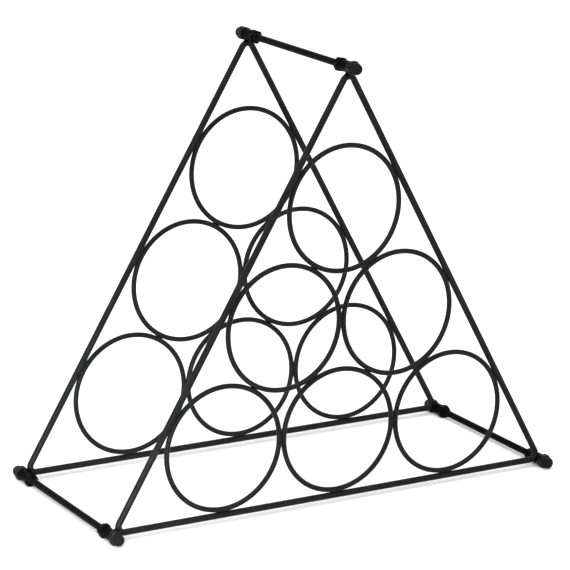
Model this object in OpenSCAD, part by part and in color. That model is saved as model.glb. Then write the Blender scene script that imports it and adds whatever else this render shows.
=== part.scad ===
// Triangular bottle rack. Two bent-wire side frames each hold six wire rings, and
// three cross rods run through sleeves welded to the frames' corners. A hex nut
// inside each sleeve and a cap nut outside it clamp the frames apart.
// X runs across the rack, Y from the front frame (-Y) to the rear frame (+Y), Z up.
// The origin is on the ground under the middle of the rack.

/* [Rings] */
// Clear width inside a bottle ring
ring_bore = 92; // [80:1:110]
// Thickness of the ring wire
ring_wire = 4; // [3:0.5:5]

/* [Side frames] */
// Thickness of the frame wire
frame_wire = 5; // [4:0.5:6]
// Radius of the frame's three bends, to the middle of the wire
bend_r = 5; // [4:0.5:8]
// Distance between the middles of the two frames
frame_gap = 150; // [110:5:220]

/* [Cross rods] */
// Diameter of a rod between its threads
rod_d = 5.4; // [4.6:0.1:5.6]
// Outer diameter of a rod's threaded ends
thread_d = 6; // [5.8:0.1:6]
// Length of thread that shows past the inner nut
thread_showing = 3; // [1:0.5:10]

/* [Corner sleeves] */
// Outer diameter of a sleeve
sleeve_d = 8.8; // [8:0.1:9.5]
// Bore of a sleeve
sleeve_bore = 6.5; // [6.2:0.1:7]
// Length of a sleeve
sleeve_len = 12; // [8:0.5:20]
// How far a sleeve stands out past the outer face of its frame wire
sleeve_out = 0.25; // [0:0.05:1]

/* [Nuts] */
// Width of a nut between opposite flats
nut_flats = 10; // [9.5:0.1:11]
// Thickness of an inner hex nut
nut_h = 5; // [4:0.5:6]
// Height of a cap nut from its seat to the tip of its dome
cap_h = 12; // [11:0.5:14]
// Height of a cap nut's hex part
cap_hex_h = 5.5; // [4:0.5:6]
// Diameter of a cap nut's dome
dome_d = 9; // [8:0.1:9.4]
// Depth of a cap nut's plain hole
cap_hole = 8; // [6:0.5:8]
// Turn of the top corner's front hex nut about its rod
front_nut_turn = 50; // [0:5:55]
// Turn of the top corner's front cap nut about its rod
front_cap_turn = 5; // [0:5:55]
// Turn of the top corner's rear hex nut about its rod
rear_nut_turn = 20; // [0:5:55]
// Turn of the top corner's rear cap nut about its rod
rear_cap_turn = 15; // [0:5:55]

/* [Hidden] */
$fn = 72;
COAT = "#2b2b2d";
HARDWARE = "#1f1f21";

// [name, direction in which its outside faces along Y]
SIDES = [["front", -1], ["rear", 1]];
// [name, place along the row in ring pitches from the middle, row from the bottom]
RINGS = [
    ["bottom_left", -1, 0],
    ["bottom_middle", 0, 0],
    ["bottom_right", 1, 0],
    ["middle_left", -0.5, 1],
    ["middle_right", 0.5, 1],
    ["top", 0, 2],
];
// [name, direction from the middle of the triangle]
CORNERS = [["top", 90], ["left", 210], ["right", 330]];

NODES = concat(
    [for (side = SIDES) frame_name(side)],
    [for (side = SIDES) for (place = RINGS) ring_name(side, place)],
    [for (corner = CORNERS) rod_name(corner)],
    [for (side = SIDES) for (corner = CORNERS) sleeve_name(side, corner)],
    [for (side = SIDES) for (corner = CORNERS) nut_name(side, corner)],
    [for (side = SIDES) for (corner = CORNERS) cap_name(side, corner)]
);
node = "all";

function frame_name(side) = str(side[0], "_frame");
function ring_name(side, place) = str(side[0], "_ring_", place[0]);
function rod_name(corner) = str("cross_rod_", corner[0]);
function sleeve_name(side, corner) = str(side[0], "_sleeve_", corner[0]);
function nut_name(side, corner) = str(side[0], "_hex_nut_", corner[0]);
function cap_name(side, corner) = str(side[0], "_cap_nut_", corner[0]);

// Rings touch each other and the frame, so the wires set every spacing.
ring_r = (ring_bore + ring_wire) / 2;
pitch = ring_bore + 2 * ring_wire;
row_rise = pitch * sin(60);
ring_to_frame = (pitch + frame_wire) / 2;

// The frame is an equilateral triangle around two ring pitches.
inradius = pitch * tan(30) + ring_to_frame;
circumradius = 2 * inradius;
bend_turn = 120;
straight_len = 2 * (inradius * tan(60) - bend_r * tan(60));
// A bend is a hair thicker than the straights, which run a little way into it.
bend_swell = 0.06;
run_in = 0.2;
bend_wire = frame_wire + bend_swell;

// A sleeve sits against the outside of a bend and reaches inwards from the frame.
rod_out = circumradius - bend_r + (bend_wire + sleeve_d) / 2;
sleeve_end = (frame_gap + frame_wire) / 2 + sleeve_out;
sleeve_mid = sleeve_end - sleeve_len / 2;
// The bottom nuts stand on their flats at z = 0.
middle_z = nut_flats / 2 + rod_out * sin(30);

nut_corners = nut_flats / cos(30);
chamfer_r = 0.48 * nut_flats;
chamfer_h = (nut_corners / 2 - chamfer_r) * tan(30);
edge_break = 0.3;
thread_gap = 0.02;
rod_end_gap = 0.5;
cap_grip = cap_hole - rod_end_gap;
rod_half = sleeve_end + cap_grip;
thread_len = cap_grip + sleeve_len + nut_h + thread_showing;
thread_start = rod_half - thread_len;
thread_runout = (thread_d - rod_d) / 2;
thread_point = 0.6;
eps = 0.01;

function turn_of(corner, top_turn) = corner[0] == "top" ? top_turn : 0;
function wanted(name) = node == "all" || node == name;

// Draws its children in the plane of a side frame, about the triangle's middle.
module in_frame(side) {
    translate([0, side[1] * frame_gap / 2, middle_z])
        rotate([90, 0, 0]) children();
}

// Draws its children about a corner's rod axis, with local +Z pointing outwards
// and the local origin in the middle of the sleeve.
module at_corner(side, corner) {
    translate([rod_out * cos(corner[1]), side[1] * sleeve_mid, middle_z + rod_out * sin(corner[1])])
        rotate([-90 * side[1], 0, 0]) children();
}

module side_frame(side) {
    color(COAT) in_frame(side)
        for (turn = [0, 120, 240]) rotate(turn) {
            translate([-straight_len / 2 - run_in, -inradius, 0])
                rotate([0, 90, 0]) cylinder(h = straight_len + 2 * run_in, d = frame_wire);
            rotate(-30) translate([circumradius - 2 * bend_r, 0, 0])
                rotate(-bend_turn / 2) rotate_extrude(angle = bend_turn)
                    translate([bend_r, 0]) circle(d = bend_wire);
        }
}

module ring(side, place) {
    first_row_y = ring_to_frame - inradius;
    color(COAT) in_frame(side)
        translate([place[1] * pitch, first_row_y + place[2] * row_rise, 0])
            rotate_extrude() translate([ring_r, 0]) circle(d = ring_wire);
}

// A plain shank with a larger threaded part at each end, drawn as one outline.
module cross_rod(corner) {
    half = [
        [rod_d / 2, 0],
        [rod_d / 2, thread_start - thread_runout],
        [thread_d / 2, thread_start],
        [thread_d / 2, rod_half - thread_point],
        [thread_d / 2 - thread_point, rod_half],
    ];
    other_half = [for (i = [len(half) - 1 : -1 : 1]) [half[i][0], -half[i][1]]];
    color(HARDWARE)
        translate([rod_out * cos(corner[1]), 0, middle_z + rod_out * sin(corner[1])])
            rotate([-90, 0, 0]) rotate_extrude()
                polygon(concat(
                    [[0, -rod_half]],
                    other_half,
                    half,
                    [[0, rod_half]]
                ));
}

module sleeve(side, corner) {
    half = sleeve_len / 2;
    outer = sleeve_d / 2;
    color(HARDWARE) at_corner(side, corner)
        rotate_extrude() polygon([
            [sleeve_bore / 2, -half],
            [outer - edge_break, -half],
            [outer, edge_break - half],
            [outer, half - edge_break],
            [outer - edge_break, half],
            [sleeve_bore / 2, half],
        ]);
}

// A hex prism of height h whose corners are turned off at both ends.
module chamfered_hex(h) {
    intersection() {
        cylinder(h = h, d = nut_corners, $fn = 6);
        rotate_extrude() polygon([
            [0, 0],
            [chamfer_r, 0],
            [chamfer_r + chamfer_h / tan(30), chamfer_h],
            [chamfer_r + chamfer_h / tan(30), h - chamfer_h],
            [chamfer_r, h],
            [0, h],
        ]);
    }
}

module hex_nut(side, corner) {
    turn = turn_of(corner, side[0] == "front" ? front_nut_turn : rear_nut_turn);
    color(HARDWARE) at_corner(side, corner)
        translate([0, 0, -sleeve_len / 2 - nut_h]) rotate(turn)
            difference() {
                chamfered_hex(nut_h);
                translate([0, 0, -eps])
                    cylinder(h = nut_h + 2 * eps, d = thread_d + 2 * thread_gap);
            }
}

module cap_nut(side, corner) {
    turn = turn_of(corner, side[0] == "front" ? front_cap_turn : rear_cap_turn);
    dome_r = dome_d / 2;
    color(HARDWARE) at_corner(side, corner)
        translate([0, 0, sleeve_len / 2]) rotate(turn)
            difference() {
                union() {
                    chamfered_hex(cap_hex_h);
                    rotate_extrude() intersection() {
                        union() {
                            translate([0, cap_h - dome_r]) circle(r = dome_r);
                            translate([-dome_r, eps]) square([dome_d, cap_h - dome_r - eps]);
                        }
                        square([dome_d, cap_h + eps]);
                    }
                }
                translate([0, 0, -eps])
                    cylinder(h = cap_hole + eps, d = thread_d + 2 * thread_gap);
            }
}

for (side = SIDES) {
    if (wanted(frame_name(side))) side_frame(side);
    for (place = RINGS)
        if (wanted(ring_name(side, place))) ring(side, place);
}
for (corner = CORNERS) {
    if (wanted(rod_name(corner))) cross_rod(corner);
    for (side = SIDES) {
        if (wanted(sleeve_name(side, corner))) sleeve(side, corner);
        if (wanted(nut_name(side, corner))) hex_nut(side, corner);
        if (wanted(cap_name(side, corner))) cap_nut(side, corner);
    }
}
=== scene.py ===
"""The looks of a triangular wire bottle rack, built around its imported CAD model.

Every CAD node gets a finished piece that stands for it: bent and butt-welded frame wires, ring
hoops, sleeves, rods with rolled threads, chamfered nuts and domed cap nuts. The weld fillets that
join the wires are pieces of their own. Lengths are in metres, in the CAD model's own frame: X runs
across the rack, Y from the front frame to the rear one, and Z is up.
"""

import math

import bpy
import numpy as np
from mathutils import Matrix, Vector


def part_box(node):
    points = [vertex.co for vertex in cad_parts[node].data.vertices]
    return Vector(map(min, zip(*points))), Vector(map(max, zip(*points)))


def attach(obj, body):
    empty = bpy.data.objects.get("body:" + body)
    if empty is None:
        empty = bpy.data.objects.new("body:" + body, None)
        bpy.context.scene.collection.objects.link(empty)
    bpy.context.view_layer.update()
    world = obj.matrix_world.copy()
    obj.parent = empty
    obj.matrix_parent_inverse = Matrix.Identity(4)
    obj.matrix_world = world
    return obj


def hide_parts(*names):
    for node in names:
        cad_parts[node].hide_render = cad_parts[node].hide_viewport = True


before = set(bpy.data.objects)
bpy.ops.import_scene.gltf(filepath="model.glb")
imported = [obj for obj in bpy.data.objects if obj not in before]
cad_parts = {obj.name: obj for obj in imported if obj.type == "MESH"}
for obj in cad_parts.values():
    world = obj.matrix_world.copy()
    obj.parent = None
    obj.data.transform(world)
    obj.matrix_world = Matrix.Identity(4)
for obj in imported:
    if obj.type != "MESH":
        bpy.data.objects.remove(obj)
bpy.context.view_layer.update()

MM = 0.001
SIDES = {"front": -1, "rear": 1}
CORNERS = {"top": 90, "left": 210, "right": 330}
RING_PLACES = ("bottom_left", "bottom_middle", "bottom_right", "middle_left", "middle_right", "top")


# ---------------------------------------------------------------- sizes, read from the CAD model
def middle_of(node):
    low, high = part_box(node)
    return (low + high) / 2


def size_of(node):
    low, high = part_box(node)
    return high - low


RING_WIRE_R = size_of("front_ring_top").y / 2
RING_R = size_of("front_ring_top").x / 2 - RING_WIRE_R
BEND_WIRE_R = size_of("front_frame").y / 2
SLEEVE_R = size_of("front_sleeve_top").x / 2
SLEEVE_LEN = size_of("front_sleeve_top").y
SLEEVE_IN_FRAME = middle_of("rear_sleeve_top").y - middle_of("rear_frame").y
THREAD_R = size_of("cross_rod_top").x / 2
NUT_FLATS = size_of("front_hex_nut_left").z
NUT_H = size_of("front_hex_nut_left").y
CAP_H = size_of("front_cap_nut_left").y

# Sizes that no box gives, as in the CAD source
BEND_SWELL = 0.03 * MM
FRAME_WIRE_R = BEND_WIRE_R - BEND_SWELL
BEND_R = 5 * MM
SLEEVE_BORE_R = 3.25 * MM
SHANK_R = 2.7 * MM
THREAD_SHOWING = 3 * MM
THREAD_GAP = 0.02 * MM
NUT_BORE_R = THREAD_R + THREAD_GAP
CAP_HEX_H = 5.5 * MM
DOME_R = 4.5 * MM
CAP_HOLE = 8 * MM

# The rods' thread, which the CAD source draws as a plain cylinder
THREAD_PITCH = 1 * MM
THREAD_DEPTH = 0.61 * MM

# The rods stand at the corners of an equilateral triangle about the frames' middle.
CENTRE_Z = (middle_of("cross_rod_top").z + 2 * middle_of("cross_rod_left").z) / 3
INRADIUS = CENTRE_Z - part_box("front_frame")[0].z - BEND_WIRE_R


# ---------------------------------------------------------------- mesh helpers
def make_piece(name, points, faces, material, edge=None):
    """A smooth-shaded mesh object at the origin, with its place in its vertices."""
    mesh = bpy.data.meshes.new(name)
    mesh.from_pydata([tuple(p) for p in points], [], faces)
    mesh.validate()
    mesh.polygons.foreach_set("use_smooth", [True] * len(mesh.polygons))
    if edge is not None:
        attribute = mesh.attributes.new("edge", "FLOAT", "POINT")
        attribute.data.foreach_set("value", np.asarray(edge, np.float32))
    mesh.materials.append(material)
    piece = bpy.data.objects.new(name, mesh)
    bpy.context.scene.collection.objects.link(piece)
    return piece


def finish_piece(piece, slot, *nodes):
    """Puts a piece on the one body, and hides any CAD nodes it stands for; slot is not used."""
    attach(piece, "root")
    if nodes:
        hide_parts(*nodes)


def loft(rings, closed=False):
    """Points and faces of a skin over rings of equal size.

    Closed joins the last ring to the first; otherwise both ends are capped.
    """
    count, around = len(rings), len(rings[0])
    points = np.asarray(rings, float).reshape(-1, 3)
    faces = []
    for i in range(count if closed else count - 1):
        j = (i + 1) % count
        for k in range(around):
            m = (k + 1) % around
            faces.append((i * around + k, j * around + k, j * around + m, i * around + m))
    if not closed:
        faces.append(tuple(range(around)))
        faces.append(tuple(range(count * around - 1, (count - 1) * around - 1, -1)))
    return points, faces


def outward(points, faces):
    """The same faces, turned so that the skin's volume is positive."""
    fans = np.array([(face[0], b, c) for face in faces for b, c in zip(face[1:-1], face[2:])])
    first, second, third = (np.asarray(points)[fans[:, n]] for n in range(3))
    volume = np.einsum("ij,ij->", first, np.cross(second, third))
    return faces if volume > 0 else [tuple(reversed(face)) for face in faces]


def swept_ring(centre, across, up, around, radius_across, radius_up):
    """One cross-section of a wire: an ellipse about centre, spanned by two unit vectors."""
    centre, across, up = (np.asarray(v) for v in (centre, across, up))
    turns = np.linspace(0, 2 * math.pi, around, endpoint=False)
    return [centre + math.cos(t) * radius_across * across + math.sin(t) * radius_up * up for t in turns]


Y_AXIS = (0.0, 1.0, 0.0)


def bump_at(distance, half_width):
    """A smooth hump of height 1 at distance 0 that has died away at half_width."""
    t = min(abs(distance) / half_width, 1.0)
    return (1 - t * t) ** 2


# ---------------------------------------------------------------- materials
def new_material(name):
    material = bpy.data.materials.new(name)
    material.use_nodes = True
    tree = material.node_tree
    tree.nodes.clear()
    return material, tree


class Nodes:
    """Short calls for adding nodes to one material's tree."""

    def __init__(self, tree):
        self.tree = tree

    def feed(self, socket, value):
        """Links a socket to another node's output, or sets it to a plain value."""
        if isinstance(value, bpy.types.NodeSocket):
            self.tree.links.new(value, socket)
        else:
            socket.default_value = value

    def add(self, kind, settings=None, **inputs):
        """A new node; underscores in the inputs' names stand for spaces."""
        node = self.tree.nodes.new(kind)
        for key, value in (settings or {}).items():
            setattr(node, key, value)
        for key, value in inputs.items():
            self.feed(node.inputs[key.replace("_", " ")], value)
        return node

    def noise(self, where, scale, detail=2.0, rough=0.5):
        node = self.add("ShaderNodeTexNoise", Vector=where, Scale=scale, Detail=detail, Roughness=rough)
        return node.outputs["Fac"]

    def ramp(self, value, low, high, to_low=0.0, to_high=1.0):
        """A value moved from the range low..high to another one, and held inside it."""
        inputs = {"From Min": low, "From Max": high, "To Min": to_low, "To Max": to_high}
        return self.add("ShaderNodeMapRange", {"clamp": True}, Value=value, **inputs).outputs["Result"]

    def math(self, operation, a, b):
        node = self.add("ShaderNodeMath", {"operation": operation})
        self.feed(node.inputs[0], a)
        self.feed(node.inputs[1], b)
        return node.outputs[0]

    def mix(self, factor, a, b):
        """A blend of two colours; the Mix node's colour sockets are its inputs 6 and 7, output 2."""
        node = self.add("ShaderNodeMix", {"data_type": "RGBA"})
        self.feed(node.inputs[0], factor)
        self.feed(node.inputs[6], a)
        self.feed(node.inputs[7], b)
        return node.outputs[2]


def grey(level, blue=1.0):
    return (level, level, level * blue, 1.0)


def finish_material(n, tone, rough, normal, specular):
    """The shader of a material and its output; specular is a plain number on the shader itself."""
    shader = n.add("ShaderNodeBsdfPrincipled", Base_Color=tone, Roughness=rough, Normal=normal)
    shader.inputs["Specular IOR Level"].default_value = specular
    n.add("ShaderNodeOutputMaterial", Surface=shader.outputs["BSDF"])


def coat_material(name, dark, light, roughness, specular, peel, grain, wear):
    """Black coating on steel: mottled tone, orange peel, a fine satin grain and rubbed edges.

    Peel and grain are the depths of the two bumps. Wear is how much of the coat is rubbed away
    where the mesh's edge attribute is 1.
    """
    material, tree = new_material(name)
    n = Nodes(tree)
    where = n.add("ShaderNodeTexCoord").outputs["Object"]

    # Tone: broad mottling, fine pale specks, and bare grey where an edge is rubbed
    mottle = n.noise(where, scale=70, detail=4, rough=0.6)
    speck = n.noise(where, scale=1400, detail=2, rough=0.6)
    patches = n.noise(where, scale=420, detail=3, rough=0.6)
    edge = n.add("ShaderNodeAttribute", {"attribute_name": "edge"}).outputs["Fac"]
    rub = n.math("MULTIPLY", edge, n.ramp(patches, 0.42, 0.66, 0, wear))
    slight_blue, speck_gain, bare_grey = 1.03, 1.7, 0.09
    tone = n.mix(n.ramp(mottle, 0.35, 0.68), grey(dark), grey(light, slight_blue))
    tone = n.mix(n.ramp(speck, 0.62, 0.75, 0, 0.35), tone, grey(light * speck_gain))
    tone = n.mix(rub, tone, grey(bare_grey))

    # Gloss varies from place to place, and rubbed edges are smoother
    gloss = n.noise(where, scale=160, detail=3, rough=0.5)
    rough = n.ramp(gloss, 0.3, 0.7, roughness - 0.05, roughness + 0.07)
    rough = n.math("SUBTRACT", rough, n.math("MULTIPLY", rub, 0.12))

    # Relief: orange peel with a satin grain on top
    waves = n.noise(where, scale=780, detail=1.5, rough=0.4)
    coarse = n.add("ShaderNodeBump", Strength=1.0, Distance=peel, Height=waves)
    satin = n.noise(where, scale=4200, detail=2, rough=0.5)
    fine = n.add(
        "ShaderNodeBump", Strength=1.0, Distance=grain, Height=satin, Normal=coarse.outputs["Normal"]
    )
    finish_material(n, tone, rough, fine.outputs["Normal"], specular)
    return material


def floor_material():
    """Matt white studio board with a trace of tone and tooth."""
    material, tree = new_material("studio_board")
    n = Nodes(tree)
    where = n.add("ShaderNodeTexCoord").outputs["Object"]
    tone = n.mix(n.noise(where, scale=3, detail=3, rough=0.5), grey(0.86), grey(0.89))
    tooth = n.noise(where, scale=500, detail=3, rough=0.6)
    bump = n.add("ShaderNodeBump", Strength=0.3, Distance=0.1 * MM, Height=tooth)
    finish_material(n, tone, 0.9, bump.outputs["Normal"], 0.1)
    return material


POWDER_COAT = coat_material(
    "satin_powder_coat",
    dark=0.005, light=0.009, roughness=0.42, specular=0.085,
    peel=0.022 * MM, grain=0.0022 * MM, wear=0.5,
)
ROD_COAT = coat_material(
    "deep_black_rod_coat",
    dark=0.001, light=0.002, roughness=0.38, specular=0.02,
    peel=0.012 * MM, grain=0.0016 * MM, wear=0.3,
)
FITTING_COAT = coat_material(
    "deep_black_fitting_coat",
    dark=0.001, light=0.002, roughness=0.40, specular=0.010,
    peel=0.010 * MM, grain=0.0020 * MM, wear=0.4,
)
# Painted front light: the cap nuts' coat is the fitting coat with more tone and reflectance, lighter
# only to show light falling on the domes and hexes
CAP_NUT_PAINTED_LIGHT_COAT = coat_material(
    "cap_nut_painted_front_light_coat",
    dark=0.006, light=0.010, roughness=0.42, specular=0.030,
    peel=0.010 * MM, grain=0.0020 * MM, wear=0.5,
)


# ---------------------------------------------------------------- side frames
def frame_path():
    """The middle line of a frame's wire, and half the length of one straight.

    The line starts at the left end of the bottom wire and runs to +X. Each of its steps gives
    the distance along the wire, the point as (x, z) about the triangle's middle, the outward
    direction, and how far into a bend it is: 0 on the straights and 1 in a bend's middle.
    """
    half_side = INRADIUS * math.tan(math.radians(60))
    half_straight = half_side - BEND_R * math.tan(math.radians(60))
    steps_straight, steps_bend = 24, 18
    out, travelled = [], 0.0
    for turn in (0, 120, 240):
        across = np.array((math.cos(math.radians(turn)), math.sin(math.radians(turn))))
        away = np.array((math.sin(math.radians(turn)), -math.cos(math.radians(turn))))
        for i in range(steps_straight):
            t = 2 * i / steps_straight - 1
            point = away * INRADIUS + across * t * half_straight
            out.append((travelled + (t + 1) * half_straight, point, away, 0.0))
        travelled += 2 * half_straight
        pivot = away * (INRADIUS - BEND_R) + across * half_straight
        for i in range(steps_bend):
            a = math.radians(120) * i / steps_bend
            direction = away * math.cos(a) + across * math.sin(a)
            in_bend = math.sin(a * 1.5)
            out.append((travelled + a * BEND_R, pivot + direction * BEND_R, direction, in_bend))
        travelled += BEND_R * math.radians(120)
    return out, half_straight


def side_frame(side):
    """A wire bent into a triangle, a little thicker in its bends.

    The butt weld is in the bottom wire, between the welds of two rings.
    """
    y = middle_of(side + "_frame").y
    path, half_straight = frame_path()
    weld_at = half_straight + RING_R + RING_WIRE_R
    bead_height, half_bead, around = 0.10 * MM, 1.4 * MM, 32
    rings = []
    for distance, point, direction, bend in path:
        swell = bead_height * bump_at(distance - weld_at, half_bead)
        across = (direction[0], 0.0, direction[1])
        centre = (point[0], y, CENTRE_Z + point[1])
        wire_r = FRAME_WIRE_R + swell
        rings.append(swept_ring(centre, across, Y_AXIS, around, wire_r, wire_r + BEND_SWELL * bend))
    points, faces = loft(rings, closed=True)
    piece = make_piece(side + "_frame_wire", points, outward(points, faces), POWDER_COAT)
    finish_piece(piece, "frame_coat", side + "_frame")


# ---------------------------------------------------------------- rings
def bottle_ring(side, place):
    """A hoop of round wire with a small butt-weld bead where its ends meet."""
    node = f"{side}_ring_{place}"
    centre = middle_of(node)
    seam = math.radians(250 if place.startswith("bottom") else 70)
    bead_height, half_bead = 0.08 * MM, 2.4 * MM
    steps, around = 144, 24
    rings = []
    for i in range(steps):
        a = 2 * math.pi * i / steps
        direction = (math.cos(a), 0.0, math.sin(a))
        off = (a - seam + math.pi) % (2 * math.pi) - math.pi
        swell = bead_height * bump_at(off * RING_R, half_bead)
        point = np.array(centre) + np.array(direction) * RING_R
        wire_r = RING_WIRE_R + swell
        rings.append(swept_ring(point, direction, Y_AXIS, around, wire_r, wire_r))
    points, faces = loft(rings, closed=True)
    piece = make_piece(node + "_wire", points, outward(points, faces), POWDER_COAT)
    finish_piece(piece, "frame_coat", node)


# ---------------------------------------------------------------- corner fittings
def axis_of(corner):
    """Where a corner's rod axis crosses the XZ plane."""
    middle = middle_of("cross_rod_" + corner)
    return middle.x, middle.z


def turned_rings(axis, stations, around):
    """Rings about a rod axis; a station is (radius, place along Y)."""
    turns = np.linspace(0, 2 * math.pi, around, endpoint=False)
    return [
        [(axis[0] + r * math.cos(t), y, axis[1] + r * math.sin(t)) for t in turns]
        for r, y in stations
    ]


def corner_sleeve(side, corner):
    """A short tube, softly chamfered by its coating at both ends."""
    node = f"{side}_sleeve_{corner}"
    low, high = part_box(node)
    soft, bevel, around = 0.15 * MM, 0.3 * MM, 64
    half = [
        (SLEEVE_BORE_R, soft),
        (SLEEVE_BORE_R + soft, 0),
        (SLEEVE_R - bevel, 0),
        (SLEEVE_R - bevel * 0.3, bevel * 0.3),
        (SLEEVE_R, bevel),
        (SLEEVE_R, bevel * 2.5),
    ]
    half_wear = [0, 0.3, 0.6, 1, 0.6, 0]
    stations = [(r, low.y + t) for r, t in half] + [(r, high.y - t) for r, t in reversed(half)]
    points, faces = loft(turned_rings(axis_of(corner), stations, around), closed=True)
    edge = np.repeat(half_wear + half_wear[::-1], around)
    piece = make_piece(node + "_tube", points, outward(points, faces), FITTING_COAT, edge)
    finish_piece(piece, "fitting_coat", node)


def thread_radius(phase):
    """Radius at a place in the thread's pitch, from 0 to 1: a narrow crest, flanks and a root."""
    half_crest, flank = 0.08, 0.28
    off_crest = abs(phase - round(phase))
    t = min(max((off_crest - half_crest) / flank, 0.0), 1.0)
    return THREAD_R - THREAD_DEPTH * t


def cross_rod(corner):
    """A plain shank with a rolled thread at each end, as wide at its crests as its CAD solid."""
    node = "cross_rod_" + corner
    axis = axis_of(corner)
    half = size_of(node).y / 2
    inner_nut = abs(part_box("rear_hex_nut_" + corner)[0].y)
    thread_start = inner_nut - THREAD_SHOWING
    tip = 0.6 * MM
    around, per_pitch = 36, 10
    thread_steps = round((half - thread_start) / THREAD_PITCH) * per_pitch
    threaded = np.linspace(thread_start, half, thread_steps + 1)
    shank = np.linspace(-thread_start, thread_start, 25)[1:-1]
    rings, edge = [], []
    for y in [*(-threaded[::-1]), *shank, *threaded]:
        fade = min(max((abs(y) - thread_start) / THREAD_PITCH, 0.0), 1.0)
        limit = THREAD_R - max(abs(y) - (half - tip), 0.0)
        ring = []
        for k in range(around):
            a = 2 * math.pi * k / around
            crest = thread_radius((y / THREAD_PITCH + k / around) % 1.0)
            r = min(SHANK_R + (crest - SHANK_R) * fade, limit)
            ring.append((axis[0] + r * math.cos(a), y, axis[1] + r * math.sin(a)))
            edge.append(max(r - SHANK_R, 0) / (THREAD_R - SHANK_R))
        rings.append(ring)
    points, faces = loft(rings)
    piece = make_piece(node + "_threaded", points, outward(points, faces), ROD_COAT, edge)
    finish_piece(piece, "rod_coat", node)


def hex_turn(node, axis):
    """The angle about the rod at which one of a nut's corners stands, from its CAD mesh."""
    points = np.array([v.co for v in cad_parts[node].data.vertices])
    x, z = points[:, 0] - axis[0], points[:, 2] - axis[1]
    farthest = np.argmax(np.hypot(x, z))
    return math.atan2(z[farthest], x[farthest])


def hex_outline(turn):
    """A hexagon with softly rounded corners, about the origin."""
    rounding, arc_steps, flat_steps = 0.22 * MM, 5, 8
    reach = (NUT_FLATS / 2 - rounding) / math.cos(math.radians(30))
    arcs = []
    for k in range(6):
        middle = turn + math.radians(60) * k
        centre = reach * np.array((math.cos(middle), math.sin(middle)))
        sweep = np.radians(np.linspace(-30, 30, arc_steps)) + middle
        arcs.append([centre + rounding * np.array((math.cos(a), math.sin(a))) for a in sweep])
    outline = []
    for arc, following in zip(arcs, arcs[1:] + arcs[:1]):
        outline += arc
        start, end = arc[-1], following[0]
        outline += [start + (end - start) * i / flat_steps for i in range(1, flat_steps)]
    return outline


# Where a nut's corner chamfer begins on its face, and how far its edges are softened
CHAMFER_R = 0.48 * NUT_FLATS
SOFT = 0.12 * MM


def drop(reach):
    """How far a nut's 30 degree corner chamfer has fallen from the face at a radius."""
    return max(reach - CHAMFER_R, 0.0) * math.tan(math.radians(30))


def hex_rings(outline, stations, axis, start_y, outwards):
    """Rings along a nut; a station gives (radius, height) for an outline point's own radius."""
    rings = []
    for station in stations:
        ring = []
        for x, z in outline:
            reach = math.hypot(x, z)
            r, height = station(reach)
            ring.append((axis[0] + x * r / reach, start_y + outwards * height, axis[1] + z * r / reach))
        rings.append(ring)
    return rings


def hex_side(low, high):
    """Stations up the outside of a hex between two heights.

    With them come the wear of the hex's rims at each, and a 1 for each that lies on its sides.
    """
    stations = [
        lambda reach: (CHAMFER_R - SOFT, low),
        lambda reach: (CHAMFER_R + SOFT / 2, low + drop(CHAMFER_R + SOFT / 2)),
        lambda reach: (reach - SOFT, low + drop(reach - SOFT)),
        lambda reach: (reach, low + drop(reach) + SOFT),
        lambda reach: (reach, low + drop(reach) + SOFT * 3),
        lambda reach: (reach, high - drop(reach) - SOFT * 3),
        lambda reach: (reach, high - drop(reach) - SOFT),
        lambda reach: (reach - SOFT, high - drop(reach - SOFT)),
        lambda reach: (CHAMFER_R + SOFT / 2, high - drop(CHAMFER_R + SOFT / 2)),
        lambda reach: (CHAMFER_R - SOFT, high),
    ]
    rim_wear = [0, 0.4, 0.7, 0.5, 0, 0, 0.5, 0.7, 0.4, 0]
    on_side = [0, 0, 0, 1, 1, 1, 1, 0, 0, 0]
    return stations, rim_wear, on_side


def corner_wear(outline, rim_wear, on_side):
    """Wear at each point of a nut: its station's rim wear, or full wear on a side's corners."""
    corner_zone = 0.03
    reach = np.array([math.hypot(*p) for p in outline])
    at_corner = np.clip((reach / reach.max() - (1 - corner_zone)) / corner_zone, 0, 1)
    return np.concatenate([np.maximum(rim, side * at_corner) for rim, side in zip(rim_wear, on_side)])


def hex_nut(side, corner):
    """A nut with both faces chamfered and its bore countersunk."""
    node = f"{side}_hex_nut_{corner}"
    axis, outwards = axis_of(corner), SIDES[side]
    outline = hex_outline(hex_turn(node, axis))
    sink = 0.4 * MM
    outside, rim_wear, on_side = hex_side(0.0, NUT_H)
    stations = [
        lambda reach: (NUT_BORE_R, sink),
        lambda reach: (NUT_BORE_R + sink, 0.0),
        *outside,
        lambda reach: (NUT_BORE_R + sink, NUT_H),
        lambda reach: (NUT_BORE_R, NUT_H - sink),
    ]
    start = middle_of(node).y - outwards * NUT_H / 2
    points, faces = loft(hex_rings(outline, stations, axis, start, outwards), closed=True)
    wear = corner_wear(outline, [0, 0.4, *rim_wear, 0.4, 0], [0, 0, *on_side, 0, 0])
    piece = make_piece(node + "_chamfered", points, outward(points, faces), FITTING_COAT, wear)
    finish_piece(piece, "fitting_coat", node)


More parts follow.
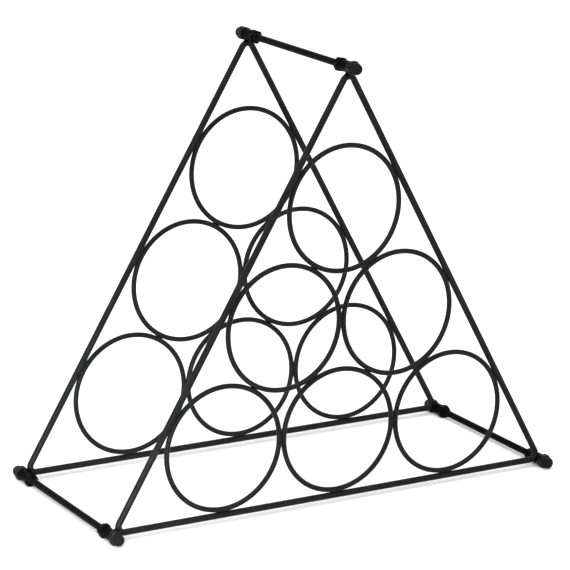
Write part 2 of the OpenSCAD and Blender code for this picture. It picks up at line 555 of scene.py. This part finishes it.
def cap_nut(side, corner):
    """A hex with a blind hole, and a round dome that grows out of it in a small fillet."""
    node = f"{side}_cap_nut_{corner}"
    axis, outwards = axis_of(corner), SIDES[side]
    outline = hex_outline(hex_turn(node, axis))
    sink, fillet, drill_angle = 0.4 * MM, 0.3 * MM, 31
    drill_tip = CAP_HOLE + NUT_BORE_R * math.tan(math.radians(drill_angle))
    outside, rim_wear, on_side = hex_side(0.0, CAP_HEX_H)
    round_part = [
        (DOME_R + fillet, CAP_HEX_H),
        (DOME_R + fillet * 0.3, CAP_HEX_H + fillet * 0.3),
        (DOME_R, CAP_HEX_H + fillet),
    ]
    for degrees in (0, 8, 16, 24, 32, 40, 48, 56, 64, 72, 80, 86):
        a = math.radians(degrees)
        round_part.append((DOME_R * math.cos(a), CAP_H - DOME_R + DOME_R * math.sin(a)))
    stations = [
        lambda reach: (0.02 * MM, drill_tip),
        lambda reach: (NUT_BORE_R, CAP_HOLE),
        lambda reach: (NUT_BORE_R, sink),
        lambda reach: (NUT_BORE_R + sink, 0.0),
        *outside,
        *[lambda reach, place=place: place for place in round_part],
    ]
    start = middle_of(node).y - outwards * CAP_H / 2
    points, faces = loft(hex_rings(outline, stations, axis, start, outwards))
    unworn = [0] * len(round_part)
    wear = corner_wear(outline, [0, 0, 0, 0.4, *rim_wear, *unworn], [0, 0, 0, 0, *on_side, *unworn])
    # The cap nut takes the lighter coat, which paints front light on its dome and hex
    piece = make_piece(node + "_domed", points, outward(points, faces), CAP_NUT_PAINTED_LIGHT_COAT, wear)
    finish_piece(piece, "fitting_coat", node)


# ---------------------------------------------------------------- welds
def smooth_union(first, second, blend):
    """Two distance fields joined with a fillet about blend wide."""
    overlap = np.clip(blend - np.abs(first - second), 0, None) / blend
    return np.minimum(first, second) - overlap**2 * blend / 4


def hoop_field(across, along, y, hoop_r, wire_r, centre):
    """Distance to a round hoop of wire in the plane y = 0 whose middle is at across = centre."""
    return np.hypot(np.hypot(across - centre, along) - hoop_r, y) - wire_r


def net_surface(field, low, cell):
    """A closed quad mesh of where a sampled field crosses zero.

    It has one point in each cell of the samples' grid that the zero passes through.
    """
    inside = field < 0
    shape = np.array(field.shape) - 1
    total = np.zeros((*shape, 3))
    count = np.zeros(shape)
    corner_at = [(i, j, k) for i in (0, 1) for j in (0, 1) for k in (0, 1)]

    def corner_values(grid, at):
        return grid[at[0]:at[0] + shape[0], at[1]:at[1] + shape[1], at[2]:at[2] + shape[2]]

    for a in corner_at:
        for axis in range(3):
            if a[axis]:
                continue
            b = tuple(1 if n == axis else a[n] for n in range(3))
            fa, fb = corner_values(field, a), corner_values(field, b)
            crosses = corner_values(inside, a) != corner_values(inside, b)
            share = np.where(crosses, fa / np.where(crosses, fa - fb, 1), 0)
            place = np.zeros((*shape, 3)) + np.array(a)
            place[..., axis] += share
            total += place * crosses[..., None]
            count += crosses
    used = count > 0
    number = np.full(shape, -1)
    number[used] = np.arange(used.sum())
    where = np.argwhere(used)
    points = low + cell * (where + total[used] / count[used][:, None])
    faces = []
    for axis in range(3):
        u, v = (axis + 1) % 3, (axis + 2) % 3
        ahead = np.roll(inside, -1, axis)
        flips = inside != ahead
        for at in np.argwhere(flips):
            past_end = at[axis] >= shape[axis] or at[u] >= shape[u] or at[v] >= shape[v]
            if past_end or 0 in (at[u], at[v]):
                continue
            corners = []
            for du, dv in ((-1, -1), (0, -1), (0, 0), (-1, 0)):
                step = at.copy()
                step[u] += du
                step[v] += dv
                corners.append(int(number[tuple(step)]))
            faces.append(tuple(corners) if inside[tuple(at)] else tuple(reversed(corners)))
    return points, faces


def weld_mesh(field, reach, cell):
    """Points and faces of a weld whose field fits a box of half-size reach.

    They are in the weld's own (across, along, y). The net's points are then moved onto the field's
    zero, in two steps down its slope.
    """
    low = -np.array(reach) - cell
    counts = np.ceil(2 * (np.array(reach) + cell) / cell).astype(int) + 1
    axes = [low[n] + cell * np.arange(counts[n]) for n in range(3)]
    grid = np.meshgrid(*axes, indexing="ij")
    points, faces = net_surface(field(*grid), low, cell)
    nudge, least_slope = 0.02 * MM, 0.2
    for _ in range(2):
        value = field(*points.T)
        slope = np.stack([
            (field(*(points + nudge * unit).T) - field(*(points - nudge * unit).T)) / (2 * nudge)
            for unit in np.eye(3)
        ], axis=1)
        step = value / np.clip((slope**2).sum(1), least_slope, None)
        points = points - np.clip(step, -cell / 2, cell / 2)[:, None] * slope
    return points, faces


def weld_field(first, second, blend, reach, keep_out=None, seed=0):
    """The fillet between two wires as a distance field, clipped to an ellipsoid inside the wires.

    Away from the fillet its skin lies just under the wires' own skins, so only the fillet shows.
    """
    under = 0.03 * MM
    phases = np.random.default_rng(seed).uniform(0, 2 * math.pi, 4)

    def field(across, along, y):
        # A hand-made weld: the fillet's size wanders in broad waves with finer ones on top.
        broad = np.sin(along / MM * 1.7 + phases[0]) * np.cos(y / MM * 2.1 + phases[1])
        fine = np.sin(along / MM * 4.1 + phases[2] + y / MM * 3.3 + phases[3])
        ripple = 1 + 0.10 * broad + 0.06 * fine
        wires = first(across, along, y), second(across, along, y)
        joined = smooth_union(*wires, blend * ripple) + under
        clip = np.sqrt((across / reach[0])**2 + (along / reach[1])**2 + (y / reach[2])**2) - 1
        out = np.maximum(joined, clip * min(reach))
        return out if keep_out is None else np.maximum(out, keep_out(across, along, y))

    return field


def ring_wire(direction):
    """A ring that touches the weld's middle; its own middle lies in direction, -1 or +1 across."""
    centre = direction * (RING_R + RING_WIRE_R)
    return lambda across, along, y: hoop_field(across, along, y, RING_R, RING_WIRE_R, centre)


def frame_wire(across, along, y):
    """A straight frame wire that touches the weld's middle; it is the same all along."""
    return np.hypot(across - FRAME_WIRE_R, y) - FRAME_WIRE_R


def bend_wire(across, along, y):
    """A bend of a frame, whose outside touches the weld's middle."""
    return hoop_field(across, along, y, BEND_R, BEND_WIRE_R, -(BEND_R + BEND_WIRE_R))


def sleeve_wall(across, along, y):
    """The outside of a sleeve whose outer end lies on the weld's +y side."""
    past_end = np.abs(y - SLEEVE_IN_FRAME) - SLEEVE_LEN / 2
    return np.maximum(np.hypot(across - SLEEVE_R, along) - SLEEVE_R, past_end)


def sleeve_limit(across, along, y):
    """Keeps a weld out of the sleeve's bore and off the seat of the cap nut."""
    bore = SLEEVE_BORE_R + 0.35 * MM - np.hypot(across - SLEEVE_R, along)
    seat = y - (SLEEVE_IN_FRAME + SLEEVE_LEN / 2 - 0.1 * MM)
    return np.maximum(bore, seat)


def place_weld(name, mesh, touch, across_to, outwards=1, coat=(POWDER_COAT, "frame_coat")):
    """A weld piece at the point touch of a frame.

    Its across direction points to across_to and its own y to the side outwards, -1 or +1 along Y.
    The coat is a material and the slot that it belongs to.
    """
    points, faces = mesh
    direction = np.array((across_to[0] - touch[0], across_to[2] - touch[2]))
    direction = direction / np.linalg.norm(direction)
    along = np.array((-direction[1], direction[0]))
    out = np.empty_like(points)
    out[:, 0] = touch[0] + points[:, 0] * direction[0] + points[:, 1] * along[0]
    out[:, 2] = touch[2] + points[:, 0] * direction[1] + points[:, 1] * along[1]
    out[:, 1] = touch[1] + outwards * points[:, 2]
    piece = make_piece(name, out, outward(out, faces), coat[0])
    finish_piece(piece, coat[1])


RING_PAIRS = (
    ("bottom_left", "bottom_middle"),
    ("bottom_middle", "bottom_right"),
    ("middle_left", "middle_right"),
    ("bottom_left", "middle_left"),
    ("bottom_middle", "middle_left"),
    ("bottom_middle", "middle_right"),
    ("bottom_right", "middle_right"),
    ("middle_left", "top"),
    ("middle_right", "top"),
)
# Which rings each straight of a frame touches, by the angle at which its outside faces
FRAME_TOUCHES = {
    270: ("bottom_left", "bottom_middle", "bottom_right"),
    150: ("bottom_left", "middle_left", "top"),
    30: ("bottom_right", "middle_right", "top"),
}
WALLS = {270: "bottom", 150: "left", 30: "right"}


def unit_towards(degrees):
    """The unit vector in the XZ plane at an angle from +X."""
    return Vector((math.cos(math.radians(degrees)), 0, math.sin(math.radians(degrees))))


def welds():
    """Every weld of both frames. Each kind has a few meshes, which its welds take in turn."""
    variants, cell = 3, 0.2 * MM
    ring_blend, ring_reach = 0.5 * MM, (1.2 * MM, 3.8 * MM, 1.3 * MM)
    frame_blend, frame_reach = 0.6 * MM, (1.2 * MM, 4.6 * MM, 1.3 * MM)
    sleeve_blend, sleeve_reach = 2.6 * MM, (2.6 * MM, 4.4 * MM, 3.4 * MM)
    ring_welds, frame_welds, sleeve_welds = [], [], []
    for seed in range(variants):
        field = weld_field(ring_wire(-1), ring_wire(1), ring_blend, ring_reach, seed=seed)
        ring_welds.append(weld_mesh(field, ring_reach, cell))
        field = weld_field(ring_wire(-1), frame_wire, frame_blend, frame_reach, seed=seed + 10)
        frame_welds.append(weld_mesh(field, frame_reach, cell))
        field = weld_field(
            bend_wire, sleeve_wall, sleeve_blend, sleeve_reach, keep_out=sleeve_limit, seed=seed + 20
        )
        sleeve_welds.append(weld_mesh(field, sleeve_reach, cell))
    used = 0
    for side in SIDES:
        y = middle_of(side + "_frame").y
        for first, second in RING_PAIRS:
            a, b = middle_of(f"{side}_ring_{first}"), middle_of(f"{side}_ring_{second}")
            name = f"{side}_weld_{first}_to_{second}"
            place_weld(name, ring_welds[used % variants], (a + b) / 2, b)
            used += 1
        for angle, places in FRAME_TOUCHES.items():
            outside = unit_towards(angle)
            for place in places:
                touch = middle_of(f"{side}_ring_{place}") + outside * (RING_R + RING_WIRE_R)
                name = f"{side}_weld_{place}_to_{WALLS[angle]}_wire"
                place_weld(name, frame_welds[used % variants], touch, touch + outside)
                used += 1
        for corner, angle in CORNERS.items():
            outside = unit_towards(angle)
            x, z = axis_of(corner)
            touch = Vector((x, y, z)) - outside * SLEEVE_R
            mesh = sleeve_welds[used % variants]
            name = f"{side}_weld_sleeve_{corner}"
            coat = (FITTING_COAT, "fitting_coat")
            place_weld(name, mesh, touch, touch + outside, SIDES[side], coat)
            used += 1


for side_name in SIDES:
    side_frame(side_name)
    for place_name in RING_PLACES:
        bottle_ring(side_name, place_name)
    for corner_name in CORNERS:
        corner_sleeve(side_name, corner_name)
        hex_nut(side_name, corner_name)
        cap_nut(side_name, corner_name)
for corner_name in CORNERS:
    cross_rod(corner_name)
welds()


# ---------------------------------------------------------------- floor, light and camera
def studio_floor():
    """A flat board far wider than the view, in a grid of square cells."""
    half, cells = 30.0, 24
    marks = np.linspace(-half, half, cells + 1)
    points = [(x, y, 0.0) for y in marks for x in marks]
    row = cells + 1
    faces = [
        (j * row + i, j * row + i + 1, (j + 1) * row + i + 1, (j + 1) * row + i)
        for j in range(cells)
        for i in range(cells)
    ]
    make_piece("studio_floor", points, faces, floor_material())


def world_light(strength):
    """Even white light from everywhere, which is the backdrop too."""
    world = bpy.data.worlds.new("studio")
    bpy.context.scene.world = world
    world.use_nodes = True
    tree = world.node_tree
    tree.nodes.clear()
    n = Nodes(tree)
    light = n.add("ShaderNodeBackground", Color=(1, 1, 1, 1), Strength=strength)
    n.add("ShaderNodeOutputWorld", Surface=light.outputs["Background"])


def aim(thing, place, target, roll=0.0):
    """Puts a light or a camera at place and turns its -Z to the target."""
    look = (Vector(target) - Vector(place)).normalized()
    turn = look.to_track_quat("-Z", "Y").to_matrix().to_4x4()
    thing.matrix_world = Matrix.Translation(Vector(place)) @ turn @ Matrix.Rotation(roll, 4, "Z")


def sun(name, strength, spread, place):
    """Light from the direction of place; spread is the lamp's width in degrees, softening shadows."""
    data = bpy.data.lights.new(name, "SUN")
    data.energy = strength
    data.angle = math.radians(spread)
    lamp = bpy.data.objects.new(name, data)
    bpy.context.scene.collection.objects.link(lamp)
    aim(lamp, place, (0, 0, 0))


def softbox(name, power, width, height, place, target, tint=(1, 1, 1), spread=180):
    """A rectangular studio light, which the camera doesn't see."""
    data = bpy.data.lights.new(name, "AREA")
    data.energy = power
    data.shape = "RECTANGLE"
    data.size = width
    data.size_y = height
    data.color = tint
    data.spread = math.radians(spread)
    lamp = bpy.data.objects.new(name, data)
    lamp.visible_camera = False
    bpy.context.scene.collection.objects.link(lamp)
    aim(lamp, place, target)


def camera():
    """The photograph's view: from the front left, a little above, with a long lens."""
    azimuth, elevation, roll = math.radians(-31.01), math.radians(15.20), math.radians(1.43)
    target = Vector((-3.8, 2.3, 153.9)) * MM
    distance = 2078.5 * MM
    back = Vector((
        math.sin(azimuth) * math.cos(elevation),
        -math.cos(azimuth) * math.cos(elevation),
        math.sin(elevation),
    ))
    data = bpy.data.cameras.new("camera")
    data.sensor_width = 36
    data.lens = 169.15
    data.clip_end = 200
    view = bpy.data.objects.new("camera", data)
    bpy.context.scene.collection.objects.link(view)
    aim(view, target + back * distance, target, roll)
    bpy.context.scene.camera = view


studio_floor()
world_light(strength=1.05)
sun("ceiling", strength=2.2, spread=70, place=(-1.0, -0.8, 3.0))
softbox("front_softbox", power=8, width=0.8, height=0.8, place=(-1.5, -1.6, 0.9), target=(0, 0, 0.15))
softbox(
    "corner_fill", power=0.3, width=0.12, height=0.12, place=(-0.75, -0.75, 0.08),
    target=(-0.19, -0.03, 0.01), tint=(0.90, 0.93, 1.0), spread=25,
)
camera()
bpy.context.scene.view_settings.view_transform = "Standard"
